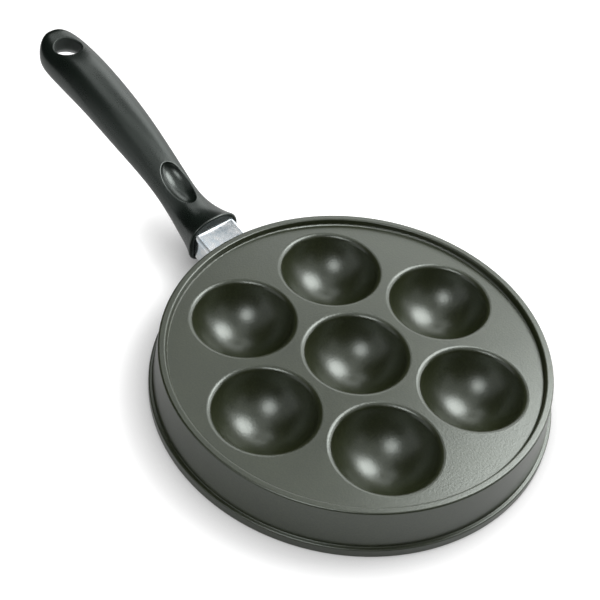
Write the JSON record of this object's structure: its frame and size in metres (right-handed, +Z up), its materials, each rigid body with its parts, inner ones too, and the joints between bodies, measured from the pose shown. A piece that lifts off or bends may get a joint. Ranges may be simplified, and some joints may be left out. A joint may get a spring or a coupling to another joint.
{
  "type": "aebleskiver pan",
  "caption": "Round cast pan with hemispherical wells in a rimmed tray, a flanged foot, a silver flame guard and a curved moulded handle with a hanging hole.",
  "frame": {"origin": "centre of the pan on the plane that it stands on, at the middle of the centre well's flat heat pad", "axes": "+X along the handle, +Z up, so the pan is symmetric about the XZ plane"},
  "size_m": [0.4118, 0.23, 0.0744],
  "materials": {
    "nonstick_cast": "dark grey satin non-stick coat with a fine speckle on cast aluminium",
    "guard_silver": "bright polished aluminium",
    "phenolic_black": "black satin moulded phenolic",
    "zinc_steel": "zinc plated steel"
  },
  "bodies": {
    "root": {"pan_body": "nonstick_cast", "flame_guard": "guard_silver", "handle_grip": "phenolic_black", "thread_insert": "zinc_steel", "handle_screw": "zinc_steel", "spring_washer": "zinc_steel", "flat_washer": "zinc_steel"}
  },
  "joints": []
}
